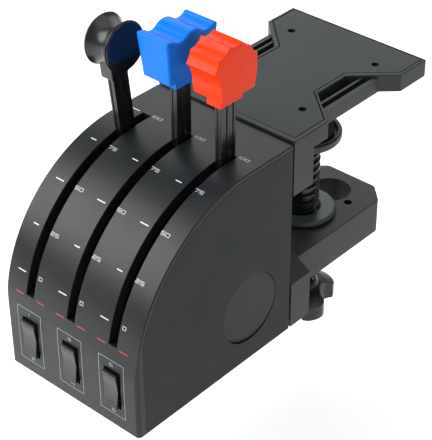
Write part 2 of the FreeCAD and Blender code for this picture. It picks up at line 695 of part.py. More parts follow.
def lever_place(obj, label, index, lean):
    obj.Label = label
    place(obj, PITCH * index, HY(PY), HZ(PZ), rot_x(num(D[lean])))
    obj.setExpression("Placement.Rotation.Angle", "dims.%s" % lean)
    FINAL.append(obj)


for name, index, lean in LEVERS:
    lever_place(lever("lever_" + name), name + "_lever", index, lean)


def pocket_for_bar(name):
    return box(name, -LT / 2 - 0.04, LT / 2 + 0.04, -LD / 2 - 0.04, LD / 2 + 0.04, 100.0, LL + 0.06)


def collar(name, x_half, y0, y1, z0, z1):
    return box(name, -x_half, x_half, y0, y1, z0, z1)


# -- throttle knob: a spool lying across the lever, with a polished end disc
SPOOL_Z = 172.0
spool = revolved("spool", "XZ",
                 [(-12.0, 0), (-12.0, 8.0), (-7.2, 17.1), (2.6, 13.2), (9.2, 16.4), (9.7, 17.0), (10.4, 17.0), (10.4, 0)],
                 "H", {1: ("mid", (-10.6, 14.2)), 2: ("mid", (-2.2, 14.25)), 3: ("mid", (6.4, 13.9))})
place(spool, 0, 0, SPOOL_Z)
tc = box("throttle_collar", -7.4, 3.2, -7.4, 7.1, 147.0, 164.0)
tc = part_fillet("throttle_collar_r", tc, 0.8, lambda e: e.BoundBox.ZLength > 10 or near(e.BoundBox.ZMax, 147.0, 0.01))
throttle_knob = cut("knob_throttle", fuse("knob_throttle_f", spool, tc), pocket_for_bar("knob_throttle_p"),
                    cyl("knob_cap_seat", "x", 9.0, 0, SPOOL_Z, 4.0, 3.0))
lever_place(throttle_knob, "throttle_knob", -1, "throttle_lean")
cap_disc = revolved("cap_disc", "XZ",
                    [(9.1, 0), (9.1, 3.95), (10.42, 3.95), (10.42, 16.2), (10.9, 16.7), (11.5, 16.2), (11.5, 0)], "H")
place(cap_disc, 0, 0, SPOOL_Z)
knob_cap = cut("throttle_cap", cap_disc, cyl("cap_trim", "x", 20.0, 0, SPOOL_Z, 1.0, 1.0))
lever_place(knob_cap, "throttle_knob_cap", -1, "throttle_lean")

# -- propeller knob: tall flat front, three ridges over the top
prop_v = [(-21.3, 157.4), (-24.6, 186.0), (-22.6, 187.8), (-18.6, 186.9), (-7.6, 186.3), (5.0, 186.6), (16.4, 185.4),
          (20.6, 184.2), (15.6, 157.4)]
prop_side = prism("prop_side", "YZ", prop_v, -15.0, 15.0,
                  {1: ("mid", (-24.2, 187.3)), 3: ("mid", (-12.9, 184.5)), 4: ("mid", (-1.3, 188.4)),
                   5: ("mid", (10.9, 183.9)), 6: ("mid", (19.3, 186.1))})
prop_front = prism("prop_front", "XZ", [(-11.5, 157.4), (11.5, 157.4), (13.2, 189.5), (-13.2, 189.5)], -30.0, 30.0)
prop = common("prop_block", prop_side, prop_front)
prop = part_fillet("prop_round", prop, 1.5, lambda e: e.BoundBox.XLength < 1.9 and e.BoundBox.ZMax > 157.6
                   and (e.BoundBox.ZLength > 0.5 or e.BoundBox.YLength > 0.5))
pc = collar("prop_collar", 7.3, -11.8, 7.4, 149.3, 160.0)
prop_knob = cut("knob_prop", fuse("knob_prop_f", prop, pc), pocket_for_bar("knob_prop_p"))
lever_place(prop_knob, "propeller_knob", 0, "upright_lean")

# -- mixture knob: a fluted barrel lying across the lever
mix_v = [(-15.4, 156.9), (-16.7, 163.8), (-22.4, 179.1), (-18.4, 187.3), (-8.9, 192.5), (2.1, 192.2), (10.0, 186.5), (15.9, 179.7),
         (15.9, 169.0), (13.3, 157.1)]
mix_side = prism("mix_side", "YZ", mix_v, -15.0, 15.0,
                 {1: ("mid", (-18.0, 172.0)), 2: ("mid", (-19.8, 182.8)), 3: ("mid", (-12.8, 188.4)),
                  4: ("mid", (-3.3, 190.5)), 5: ("mid", (5.5, 188.8)), 6: ("mid", (12.2, 182.6))})
mix_front = prism("mix_front", "XZ", [(-12.2, 156.9), (12.2, 156.9), (11.7, 193.5), (-11.7, 193.5)], -30.0, 30.0)
mix = common("mix_block", mix_side, mix_front)
mix = part_fillet("mix_round", mix, 0.8, lambda e: e.BoundBox.XLength < 1.0 and e.BoundBox.ZMax > 156.95
                  and (e.BoundBox.ZLength > 0.3 or e.BoundBox.YLength > 0.3))
mc = box("mix_collar", -3.3, 7.8, -13.3, 7.0, 150.9, 160.0)
mix_knob = cut("knob_mix", fuse("knob_mix_f", mix, mc), pocket_for_bar("knob_mix_p"))
lever_place(mix_knob, "mixture_knob", 1, "upright_lean")

# ======================================================== potentiometers, gears
GC = D["gear_centre"]
pin_pitch = 2 * math.pi / PINION_TEETH
pin_pts = tooth_points(PINION_TEETH, 0.80, 0.8, 1.15, [k * pin_pitch for k in range(PINION_TEETH)])
# a tooth of the pinion points straight up, into the sector's space
pin_shape = plate_from([(r * math.sin(a), r * math.cos(a)) for r, a in pin_pts], -num(HH) + 0.1, -num(HH) + 3.9)
pin_shape = pin_shape.fuse(Part.makeCylinder(2.0, 11.0, Vector(-17.0, 0, 0), Vector(1, 0, 0))).removeSplitter()
ratio = GEAR_TEETH / float(PINION_TEETH)
pot_brackets = []
for i, (name, index, lean) in enumerate(LEVERS):
    n = i + 1
    pin = whole("pinion_%d" % n, pin_shape.copy())
    pin.Label = "pot_pinion_%d" % n
    place(pin, PITCH * index, HY(PY), HZ(PZ - GC), rot_x(-ratio * num(D[lean])))
    FINAL.append(pin)
    x = PITCH * index
    y, z = PY, PZ - GC
    can = cyl("pot_can_%d" % n, "x", x - 18.0, y, z, D["pot_radius"], 7.9)
    bush = cyl("pot_bush_%d" % n, "x", x - 10.2, y, z, 3.5, 2.4)
    legs = box("pot_legs_%d" % n, x - 17.0, x - 11.5, y - 5.0, y + 5.0, z - 9.0, z - 6.0)
    bore = cyl("pot_bore_%d" % n, "x", x - 17.3, y, z, 2.0 + RC, 12.0)
    pot = cut("pot_%d" % n, fuse("pot_f%d" % n, can, bush, legs), bore)
    final(pot, "potentiometer_%d" % n)
    up = box("potb_up_%d" % n, x - 10.0, x - 8.6, y - 9.5, y + 9.5, 3.3, z + 9.5)
    foot = box("potb_foot_%d" % n, x - 16.5, x - 8.6, y - 9.5, y - 6.6, 3.3, 4.7)
    foot2 = box("potb_foot2_%d" % n, x - 16.5, x - 8.6, y + 6.6, y + 9.5, 3.3, 4.7)
    hole = cyl("potb_hole_%d" % n, "x", x - 12.0, y, z, 3.55, 5.0)
    pot_brackets.append(cut("pot_bracket_%d" % n, fuse("potb_f%d" % n, up, foot, foot2), hole))
final(group("pot_brackets", *pot_brackets), "pot_brackets")

# ============================================================= slot edge seals
for i in range(3):
    x = PITCH * (i - 1)
    ring = slot_prism("seal_o%d" % i, x, Q(5.6), Q(98.0), R - WALL - 0.15, 10.0, D["slot_end"] + 2.0)
    hollow = slot_prism("seal_i%d" % i, x, D["slot_width"] / 2 + 0.1, Q(96.0), Q(106.0), 11.2, D["slot_end"] + 0.2)
    final(cut("slot_seal_%d" % (i + 1), ring, hollow), "slot_seal_%d" % (i + 1))

# ==================================================================== rockers
RD = D["rocker_depth"]
RWH = D["rocker_width"] / 2


def facet(z):
    return -7.2 - 1.75 * abs(z) / 13.2


def rocker_profile():
    up = [(facet(0), 0.0), (facet(8.8), 8.8)]
    for z in (8.8, 10.3, 11.8):
        up += [(facet(z) + 0.45, z + 0.25), (facet(z) + 0.45, z + 0.6), (facet(z + 0.85), z + 0.85)]
        if z < 11:
            up += [(facet(z + 1.5), z + 1.5)]
    up += [(-8.5, 13.3), (-4.7, 13.1), (1.4, 12.6), (3.0, 4.0)]
    low = [(y, -z) for y, z in reversed(up[1:])]
    return up + low


pins, keys = [], []
for i in range(3):
    n, x = i + 1, PITCH * (i - 1)
    paddle = prism("paddle_%d" % n, "YZ", rocker_profile(), -RWH, RWH)
    rk = cut("rocker_cut_%d" % n, paddle, cyl("rocker_bore_%d" % n, "x", -10.0, 0, 0, 1.0 + RC, 20.0))
    rk.Label = "rocker_%d" % n
    place(rk, x, HY(RD), HZ(RZ))
    FINAL.append(rk)
    outer = box("cradle_o%d" % n, x - 9.4, x + 9.4, 2.35, 12.8, RZ - 17.2, RZ + 17.2)
    inner = box("cradle_i%d" % n, x - RW / 2 - 0.1, x + RW / 2 + 0.1, 1.0, 20.0, RZ - RH / 2 - 0.1, RZ + RH / 2 + 0.1)
    ph = cyl("cradle_h%d" % n, "x", x - 12.0, RD, RZ, 1.02, 24.0)
    final(cut("rocker_cradle_%d" % n, outer, inner, ph), "rocker_cradle_%d" % n)
    pins.append(cyl("rocker_pin_%d" % n, "x", x - 9.2, RD, RZ, 1.0, 18.4))
    for k, dz in enumerate((-9.0, 9.0)):
        body = box("key_b%d%d" % (n, k), x - 3.0, x + 3.0, 10.8, 14.0, RZ + dz - 3.0, RZ + dz + 3.0)
        stem = cyl("key_s%d%d" % (n, k), "y", x, 9.5, RZ + dz, 1.7, 1.4)
        keys.append(fuse("key_%d%d" % (n, k), body, stem))
final(group("rocker_pins", *pins), "rocker_pins")
final(group("tact_switches", *keys), "tact_switches")
final(prism("switch_board", "YZ", [(14.0, 13.6), (15.6, 13.6), (15.6, 47.4), (14.0, 47.4)], -50.0, 50.0), "switch_board")

# ===================================================================== boards
STAND = [(-42.0, 24.0), (42.0, 24.0), (-42.0, 80.0), (42.0, 80.0)]
board = prism("main_board", "XY", [(-52.0, 20.0), (50.0, 20.0), (50.0, 84.0), (-52.0, 84.0)], 8.0, 9.6, None,
              [(x, y, 1.6) for x, y in STAND])
final(board, "main_board")
stands = []
for i, (x, y) in enumerate(STAND):
    p = doc.addObject("Part::Prism", "stand_hex_%d" % i)
    p.Polygon, p.Circumradius, p.Height = 6, 3.0, 4.7
    place(p, x, y, 3.3)
    stands.append(fuse("stand_%d" % i, p, cyl("stand_pin_%d" % i, "z", x, y, 7.5, 1.5, 3.4),
                       cyl("stand_head_%d" % i, "z", x, y, 9.6, 2.6, 1.5)))
final(group("board_standoffs", *stands), "board_standoffs")
chip = box("chip_body", -7.0, 7.0, 48.0, 62.0, 9.9, 11.5)
chip_legs = []
for k in range(8):
    o = -5.6 + 1.6 * k
    chip_legs.append(box("chip_leg_x%d" % k, o - 0.25, o + 0.25, 46.8, 63.2, 9.6, 10.2))
    chip_legs.append(box("chip_leg_y%d" % k, -8.2, 8.2, 55.0 + o - 0.25, 55.0 + o + 0.25, 9.6, 10.2))
final(fuse("controller_chip", chip, *chip_legs), "controller_chip")
# cable inlet on the left, board-mounted, opening through the side panel
sock = box("sock_body", -58.6, -43.0, 34.0, 46.0, 9.6, 20.6)
sock_in = box("sock_in", -60.0, -48.0, 35.75, 44.25, 11.2, 19.0)
final(cut("inlet_socket", sock, sock_in), "inlet_socket")

# chassis screws: shaft supports to the base plate
ch = []
for i, (x, y) in enumerate([(s * 44.6, num(PY) + dy) for s in (-1, 1) for dy in (-12.6, 12.6)]):
    ch.append(fuse("chassis_screw_%d" % i, cyl("chs_head_%d" % i, "z", x, y, 5.3, 2.3, 1.8),
                   cyl("chs_shank_%d" % i, "z", x, y, 3.35, 1.5, 2.5)))
final(group("chassis_screws", *ch), "chassis_screws")

# ============================================================= clamp bracket
PT, PU = D["plate_top"], D["plate_under"]
SY1, SY2, SX = D["screw_hole_y1"], D["screw_hole_y2"], D["screw_hole_x"]


def both_sides(points):
    """Right-hand outline from front to rear, mirrored into a closed outline."""
    right = list(points)
    left = [(-x, y) for x, y in reversed(right)]
    return right + left


RIM = [(59.0, 148.5), (59.0, 182.5), (31.5, 205.9), (31.5, 236.4), (59.0, 262.2), (59.0, 290.3)]
PANEL = [(55.5, 152.6), (55.5, 182.3), (28.5, 205.4), (28.5, 238.8), (56.4, 264.6), (56.4, 288.4)]
SEAT = [(56.1, 152.0), (56.1, 182.6), (29.1, 205.7), (29.1, 238.5), (57.0, 264.3), (57.0, 289.0)]
rim = prism("bracket_rim", "XY", both_sides(RIM), PU, PT)
rim = body_fillet(rim, 0.8, lambda e: e.BoundBox.ZLength < 0.01 and near(e.BoundBox.ZMin, 150.0, 0.01))
floor_r = prism("notch_floor_r", "XY", [(28.0, 176.0), (48.0, 176.0), (48.0, 268.0), (28.0, 268.0)], PU, PU + 2.2)
floor_l = prism("notch_floor_l", "XY", [(-48.0, 176.0), (-28.0, 176.0), (-28.0, 268.0), (-48.0, 268.0)], PU, PU + 2.2)
rails = [box("rail_r", 44.3, 48.0, 176.0, 268.0, PU, 147.6), box("rail_l", -48.0, -44.3, 176.0, 268.0, PU, 147.6),
         box("rib_r", 38.2, 40.2, 196.0, 248.0, PU, 147.8), box("rib_l", -40.2, -38.2, 196.0, 248.0, PU, 147.8)]
upper = box("bracket_upper", -59.0, 59.0, 148.5, 168.3, 108.5, 145.0)
web = box("bracket_web", -42.0, 42.0, 150.0, 163.0, 30.0, 112.0)
lower = prism("bracket_lower", "XZ", [(-59.0, 0), (59.0, 0), (59.0, 36.0), (44.0, 45.6), (-44.0, 45.6), (-59.0, 36.0)],
              149.0, 169.0)
bosses = [cyl("boss_%d" % i, "y", x, DEPTH + 0.03, z, 6.0, 14.0) for i, (x, z) in enumerate(BOLTS)]
frame_raw = fuse("bracket_raw", rim, floor_r, floor_l, upper, web, lower, *(rails + bosses))
frame_tools = [prism("panel_seat", "XY", both_sides(SEAT), PT - 3.0, PT + 2.0)]
# lightening pockets under the top panel, which leave a grid of ribs
for k, (x0, x1, y0, y1) in enumerate([(2.0, 50.0, 156.0, 174.0), (-50.0, -2.0, 156.0, 174.0),
                                      (2.0, 25.0, 192.0, 230.0), (-25.0, -2.0, 192.0, 230.0),
                                      (2.0, 25.0, 234.0, 284.0), (-25.0, -2.0, 234.0, 284.0),
                                      (45.0, 53.0, 270.0, 284.0), (-53.0, -45.0, 270.0, 284.0)]):
    frame_tools.append(box("light_%d" % k, x0, x1, y0, y1, 140.5, 148.0))
# pockets in the wall behind the housing, open towards the housing
for k, (x0, x1, z0, z1) in enumerate([(42.5, 56.0, 111.5, 134.0), (-56.0, -42.5, 111.5, 134.0),
                                      (-25.5, 25.5, 111.5, 134.0), (-38.5, 38.5, 50.0, 104.0),
                                      (42.5, 56.0, 3.0, 33.0), (-56.0, -42.5, 3.0, 33.0), (-25.5, 25.5, 3.0, 42.0)]):
    frame_tools.append(box("hollow_%d" % k, x0, x1, 147.0, 159.0, z0, z1))
for k, (x, z) in enumerate(BOLTS):
    frame_tools.append(cyl("boss_hole_%d" % k, "y", x, 146.0, z, 2.0, 13.0))
for k, x in enumerate((-15.0, 15.0)):
    frame_tools.append(cyl("arm_hole_%d" % k, "y", x, 155.0, 14.0, 2.6, 16.0))
DESK_HOLES = [(-SX, SY1), (SX, SY1), (-SX, SY2), (SX, SY2)]
for k, (x, y) in enumerate(DESK_HOLES):
    frame_tools.append(cyl("desk_hole_f%d" % k, "z", x, y, 130.0, D["screw_hole_r"], 30.0))
bracket = cut("bracket_frame", frame_raw, *frame_tools)
final(bracket, "bracket_frame")

panel = prism("bracket_panel", "XY", both_sides(PANEL), PT - 3.0, PT, None,
              [(x, y, D["screw_hole_r"]) for x, y in DESK_HOLES])
panel = body_fillet(panel, 0.5, lambda e: e.BoundBox.ZLength < 0.01 and near(e.BoundBox.ZMin, 150.0, 0.01)
                    and e.Curve.TypeId == "Part::GeomLine")
final(panel, "bracket_top_panel")

GRIP = [(46.0, 172.0), (46.0, 258.0), (56.5, 265.0), (56.5, 288.0)]
grip = prism("grip_raw", "XY", both_sides(GRIP), PU - D["grip_thick"], PU, None,
             [(x, y, D["screw_hole_r"] + 0.5) for x, y in DESK_HOLES])
final(grip, "desk_grip_pad")

# screws that hold the housing to the bracket, put in from inside the housing
bs = []
for i, (x, z) in enumerate(BOLTS):
    head = cyl("bs_head_%d" % i, "y", x, 142.2, z, 4.0, 2.8)
    shank = cyl("bs_shank_%d" % i, "y", x, 144.9, z, 1.95, 13.5)
    hexs = doc.addObject("Part::Prism", "bs_hex_%d" % i)
    hexs.Polygon, hexs.Circumradius, hexs.Height = 6, 1.8, 1.8
    place(hexs, x, 142.1, z, ROT["y"])
    bs.append(cut("bracket_screw_%d" % i, fuse("bs_%d" % i, head, shank), hexs))
final(group("bracket_screws", *bs), "bracket_screws")

# -- clamp arm: two bores for the flanged nut, each with its pair of screw holes
AH, AT, AE, NB = D["arm_half"], D["arm_thick"], D["arm_end"], D["nut_bore_r"]
CY, CY2 = D["clamp_y"], D["second_bore_y"]
arm = prism("arm_raw", "XY", [(-AH, 169.0), (AH, 169.0), (AH, AE - 13), (AH - 13.5, AE), (-AH + 13.5, AE), (-AH, AE - 13)],
            0.0, AT, None, [(0, CY, NB), (0, CY2, NB)])
arm = body_fillet(arm, 5.0, lambda e: e.BoundBox.ZLength > 20 and e.BoundBox.YMin > 200.0 and e.Curve.TypeId == "Part::GeomLine"
                  and abs(e.BoundBox.Center.x) > 16.0)
arm = body_fillet(arm, 0.8, lambda e: e.BoundBox.ZLength < 0.01 and e.BoundBox.YMax > 170.0 and e.BoundBox.YLength > 60.0)
arm_tools = []
for k, (x, y) in enumerate([(-20.0, CY - 5.0), (20.0, CY - 5.0), (-20.0, CY2 - 5.0), (20.0, CY2 - 5.0)]):
    arm_tools.append(cyl("arm_small_%d" % k, "z", x, y, -1.0, 3.0, 32.0))
    arm_tools.append(cyl("arm_cbore_%d" % k, "z", x, y, -1.0, 5.4, 5.5))
for k, x in enumerate((-15.0, 15.0)):
    arm_tools.append(cyl("arm_tap_%d" % k, "y", x, 168.0, 14.0, 2.5, 22.0))
final(cut("clamp_arm", arm, *arm_tools), "clamp_arm")
ars = []
for k, x in enumerate((-15.0, 15.0)):
    head = cyl("ars_head_%d" % k, "y", x, 155.0, 14.0, 4.4, 4.0)
    shank = cyl("ars_shank_%d" % k, "y", x, 158.9, 14.0, 2.45, 29.0)
    hx = doc.addObject("Part::Prism", "ars_hex_%d" % k)
    hx.Polygon, hx.Circumradius, hx.Height = 6, 2.2, 2.4
    place(hx, x, 154.9, 14.0, ROT["y"])
    ars.append(cut("arm_screw_%d" % k, fuse("ars_%d" % k, head, shank), hx))
final(group("arm_screws", *ars), "arm_screws")

# -- flanged nut, held in the front bore by two screws from below
NTR = D["thread_crest"] + 0.4
nut_rev = revolved("nut_rev", "XZ",
                   [(NTR, 3.0), (NB - 0.1, 3.0), (NB - 0.1, AT + 0.05), (23.4, AT + 0.05), (25.5, AT + 2.1),
                    (22.9, AT + 4.6), (14.6, AT + 4.6), (NTR, AT + 3.6)],
                   "V", {3: ("mid", (24.9, num(AT) + 0.65)), 4: ("mid", (24.8, num(AT) + 3.9))})
nut = cut("flanged_nut", nut_rev, *[cyl("nut_tap_%d" % k, "z", x, -5.0, AT - 2.0, 2.5, 5.0)
                                   for k, x in enumerate((-20.0, 20.0))])
final(nut, "flanged_nut", 0.0, 0.0, -D["seat_z"])
ns = []
for k, x in enumerate((-20.0, 20.0)):
    y = CY - 5.0
    head = cyl("ns_head_%d" % k, "z", x, y, 0.6, 4.6, 3.9)
    shank = cyl("ns_shank_%d" % k, "z", x, y, 4.4, 2.45, 26.2)
    hx = doc.addObject("Part::Prism", "ns_hex_%d" % k)
    hx.Polygon, hx.Circumradius, hx.Height = 6, 2.2, 2.4
    place(hx, x, y, 0.5)
    ns.append(cut("nut_screw_%d" % k, fuse("ns_%d" % k, head, shank), hx))
final(group("nut_screws", *ns), "nut_screws")

# -- clamp screw: coarse rounded thread, journal at the top, square tail below
TC, TK, TP = D["thread_crest"], D["thread_core"], D["thread_pitch"]
z_lo, z_hi = -33.5, 84.0
turns_h = z_hi - z_lo - 8.0
helix = Part.makeHelix(num(TP), turns_h, num(TK))
helix.translate(Vector(0, 0, z_lo + 4.0))
tooth = Part.makePolygon([Vector(num(TK) - 0.6, 0, z_lo + 4.0 - 2.2), Vector(num(TC), 0, z_lo + 4.0 - 0.75),
                          Vector(num(TC), 0, z_lo + 4.0 + 0.75), Vector(num(TK) - 0.6, 0, z_lo + 4.0 + 2.2),
                          Vector(num(TK) - 0.6, 0, z_lo + 4.0 - 2.2)])
sweep = Part.BRepOffsetAPI.MakePipeShell(Part.Wire(helix.Edges))
sweep.setFrenetMode(True)
sweep.add(Part.Wire(tooth.Edges))
sweep.build()
sweep.makeSolid()
thread = sweep.shape()
core = Part.makeCylinder(num(TK), z_hi - z_lo, Vector(0, 0, z_lo))
screw_shape = core.fuse(thread)
screw_shape = screw_shape.fuse(Part.makeCylinder(6.0, 6.4, Vector(0, 0, z_hi - 0.4)))
tail = Part.makeBox(12.0, 12.0, 16.0, Vector(-6.0, -6.0, z_lo - 15.6))
screw_shape = screw_shape.fuse(tail)
screw_shape = screw_shape.cut(Part.makeCylinder(2.1, 20.0, Vector(0, 0, z_hi - 6.8)))
screw_shape = screw_shape.cut(Part.makeCylinder(2.1, 16.5, Vector(0, 0, z_lo - 16.0)))
cscrew = whole("clamp_screw_s", screw_shape)
final(cscrew, "clamp_screw", 0.0, 0.0, -D["seat_z"])

# -- pressure pad and its rubber facing
PR = D["pad_radius"]
pad_v = [(6.0 + RC, 84.3), (10.2, 84.3), (12.0, 86.6), (16.5, 88.2), (25.4, 91.6), (PR, 94.4), (PR, 96.6), (PR - 1.6, 98.2),
         (PR - 2.9, 98.2), (PR - 3.8, 97.2), (PR - 3.8, 95.0), (2.5, 95.0), (2.5, 90.5), (6.0 + RC, 90.5)]
pad = revolved("pad_rev", "XZ", pad_v, "V", {4: ("mid", (27.0, 92.6)), 6: ("mid", (26.95, 97.75))})
final(pad, "pressure_pad", 0.0, 0.0, -D["seat_z"])
rub = revolved("rubber_rev", "XZ", [(6.5, 95.0), (22.0, 95.0), (22.0, 98.3), (21.5, 98.8), (7.0, 98.8), (6.5, 98.3)], "V")
final(rub, "pad_rubber", 0.0, 0.0, -D["seat_z"])

# -- four-lobed hand knob on the screw's square tail
KT = num(D["knob_tip_r"])


def polar(r, a):
    return (r * math.cos(math.radians(a)), r * math.sin(math.radians(a)))


kv, ka = [], {}
for k in range(4):
    a = -24.0 + 90.0 * k
    kv.append(polar(26.0, a - 21.0))
    ka[4 * k] = ("mid", polar(27.0, a - 17.0))
    kv.append(polar(KT - 0.75, a - 14.0))
    ka[4 * k + 1] = ("mid", polar(KT, a))
    kv.append(polar(KT - 0.75, a + 14.0))
    ka[4 * k + 2] = ("mid", polar(27.0, a + 17.0))
    kv.append(polar(26.0, a + 21.0))
    ka[4 * k + 3] = ("mid", polar(17.0, a + 45.0))
kv = [(Q(a), Q(b)) for a, b in kv]
lobes = prism("knob_lobes", "XY", kv, -55.4, -30.0, ka)
lobes = body_fillet(lobes, 1.2, lambda e: e.BoundBox.ZLength < 0.01 and near(e.BoundBox.ZMin, -55.4, 0.01))
dome = revolved("knob_dome", "XZ", [(0, -60.0), (33.0, -60.0), (33.0, -46.6), (27.0, -42.6), (20.0, -38.9), (13.0, -36.3), (0, -36.3)], "V")
lobes = common("knob_lobes_domed", lobes, dome)
hub = revolved("knob_hub", "XZ", [(0, -46.0), (16.5, -46.0), (16.5, -40.0), (13.5, -34.6), (12.5, -33.6), (0, -33.6)], "V")
sq = box("knob_square", -6.05, 6.05, -6.05, 6.05, -49.7, -20.0)
under = cyl("knob_under", "z", 0, 0, -57.0, 9.0, 5.4)
thru = cyl("knob_thru", "z", 0, 0, -57.0, 2.3, 20.0)
final(cut("clamp_knob", fuse("knob_f", lobes, hub), sq, under, thru), "clamp_knob", 0.0, 0.0, -D["seat_z"])


# the same screw keeps the pad on the top of the clamp screw and the knob on its tail
def retaining(name, z, s):
    head = cyl(name + "_head", "z", 0, 0, min(z, z + s * 2.4), 4.7, 2.4)
    shank = cyl(name + "_shank", "z", 0, 0, min(z - s * 14.5, z + s * 0.1), 2.08, 14.6)
    hx = doc.addObject("Part::Prism", name + "_hex")
    hx.Polygon, hx.Circumradius, hx.Height = 6, 2.0, 1.5
    place(hx, 0, 0, z + 1.0 if s > 0 else z - 2.5)
    return cut(name, fuse(name + "_f", head, shank), hx)


final(group("retaining_screws", retaining("pad_screw", 95.3, 1.0), retaining("knob_screw", -51.65, -1.0)),
      "retaining_screws", 0.0, 0.0, -D["seat_z"])

# ------------------------------------------------------------ check and write
doc.recompute()
bad = [o.Name for o in doc.Objects if "Invalid" in o.State or "Error" in o.State]
if bad:
    raise RuntimeError("failed objects: " + ", ".join(bad))
labels = [o.Label for o in FINAL]
if len(set(labels)) != len(labels) or len(labels) > 60:
    raise RuntimeError("labels: %d of them, or a repeat" % len(labels))
for o in FINAL:
    s = o.Shape
    if s.isNull() or not s.isValid() or not s.Solids:
        raise RuntimeError("bad shape in " + o.Label)
os.makedirs("parts", exist_ok=True)
for old in os.listdir("parts"):
    if old.endswith(".step") and old[:-5] not in labels:
        os.remove(os.path.join("parts", old))
for o in FINAL:
    o.Shape.exportStep("parts/%s.step" % o.Label)
    print("%-22s solids %2d  volume %10.1f" % (o.Label, len(o.Shape.Solids), o.Shape.Volume))
print(len(FINAL), "nodes")
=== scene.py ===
import math

import bmesh
import bpy
from mathutils import Matrix, Vector


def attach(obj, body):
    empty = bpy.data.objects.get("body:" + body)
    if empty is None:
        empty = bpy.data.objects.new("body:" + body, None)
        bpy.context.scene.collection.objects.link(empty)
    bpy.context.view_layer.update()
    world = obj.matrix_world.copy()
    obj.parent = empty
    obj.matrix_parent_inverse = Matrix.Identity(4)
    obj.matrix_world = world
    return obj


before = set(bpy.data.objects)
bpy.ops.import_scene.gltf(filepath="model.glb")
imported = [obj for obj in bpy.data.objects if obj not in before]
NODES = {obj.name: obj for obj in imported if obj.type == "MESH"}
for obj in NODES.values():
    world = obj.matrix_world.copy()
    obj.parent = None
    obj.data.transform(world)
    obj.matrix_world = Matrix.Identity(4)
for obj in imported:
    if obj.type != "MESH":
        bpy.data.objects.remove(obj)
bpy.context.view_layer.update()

# ---------------------------------------------------------------- dimensions
# The housing frame (front face, base) sits at this place in the row frame.
OX, OY, OZ = 0.0, -0.232, -0.1355
ARC_R, ARC_Y, ARC_Z = 0.106, 0.106, 0.042
TOP_Z = 0.148
PITCH = 0.0372
MM = 0.001


def H(x, y, z):
    """A point given in millimetres in the housing frame, in the row frame."""
    return Vector((OX + x * MM, OY + y * MM, OZ + z * MM))


# ---------------------------------------------------------------- node tools
def new_mat(name):
    m = bpy.data.materials.new(name)
    m.use_nodes = True
    nt = m.node_tree
    for n in list(nt.nodes):
        nt.nodes.remove(n)
    out = nt.nodes.new("ShaderNodeOutputMaterial")
    b = nt.nodes.new("ShaderNodeBsdfPrincipled")
    nt.links.new(b.outputs["BSDF"], out.inputs["Surface"])
    return m, nt, b


def coords(nt, scale=(1, 1, 1)):
    tc = nt.nodes.new("ShaderNodeTexCoord")
    mp = nt.nodes.new("ShaderNodeMapping")
    mp.inputs["Scale"].default_value = scale
    nt.links.new(tc.outputs["Object"], mp.inputs["Vector"])
    return mp.outputs["Vector"]


def noise(nt, vec, scale, detail=3.0, rough=0.55, distort=0.0):
    n = nt.nodes.new("ShaderNodeTexNoise")
    n.inputs["Scale"].default_value = scale
    n.inputs["Detail"].default_value = detail
    n.inputs["Roughness"].default_value = rough
    n.inputs["Distortion"].default_value = distort
    nt.links.new(vec, n.inputs["Vector"])
    return n.outputs["Fac"]


def voronoi(nt, vec, scale, feature="F1", rnd=1.0):
    n = nt.nodes.new("ShaderNodeTexVoronoi")
    n.feature = feature
    n.inputs["Scale"].default_value = scale
    n.inputs["Randomness"].default_value = rnd
    nt.links.new(vec, n.inputs["Vector"])
    return n.outputs["Distance"]


def ramp(nt, fac, stops, interp="LINEAR"):
    r = nt.nodes.new("ShaderNodeValToRGB")
    r.color_ramp.interpolation = interp
    els = r.color_ramp.elements
    while len(els) > 1:
        els.remove(els[-1])
    first = True
    for p, c in stops:
        col = c if len(c) == 4 else (c[0], c[1], c[2], 1.0)
        if first:
            els[0].position, els[0].color = p, col
            first = False
        else:
            e = els.new(p)
            e.color = col
    nt.links.new(fac, r.inputs["Fac"])
    return r.outputs["Color"]


def mapr(nt, fac, lo, hi, a=0.0, b=1.0):
    m = nt.nodes.new("ShaderNodeMapRange")
    m.inputs["From Min"].default_value = a
    m.inputs["From Max"].default_value = b
    m.inputs["To Min"].default_value = lo
    m.inputs["To Max"].default_value = hi
    nt.links.new(fac, m.inputs["Value"])
    return m.outputs["Result"]


def mathn(nt, op, a, b):
    m = nt.nodes.new("ShaderNodeMath")
    m.operation = op
    for i, v in enumerate((a, b)):
        if isinstance(v, (int, float)):
            m.inputs[i].default_value = v
        else:
            nt.links.new(v, m.inputs[i])
    return m.outputs["Value"]


def mix_col(nt, fac, a, b, mode="MIX"):
    m = nt.nodes.new("ShaderNodeMix")
    m.data_type = "RGBA"
    m.blend_type = mode
    for sock, v in ((m.inputs[0], fac), (m.inputs[6], a), (m.inputs[7], b)):
        if isinstance(v, (int, float)):
            sock.default_value = v
        elif isinstance(v, (tuple, list)):
            sock.default_value = (v[0], v[1], v[2], 1.0)
        else:
            nt.links.new(v, sock)
    return m.outputs[2]


def bump(nt, b, height, strength, distance, edge=0.0):
    n = nt.nodes.new("ShaderNodeBump")
    n.inputs["Strength"].default_value = strength
    n.inputs["Distance"].default_value = distance
    nt.links.new(height, n.inputs["Height"])
    if edge:
        bv = nt.nodes.new("ShaderNodeBevel")
        bv.samples = 4
        bv.inputs["Radius"].default_value = edge
        nt.links.new(bv.outputs["Normal"], n.inputs["Normal"])
    nt.links.new(n.outputs["Normal"], b.inputs["Normal"])
    return n


def scaled(c, k):
    return tuple(min(1.0, v * k) for v in c)


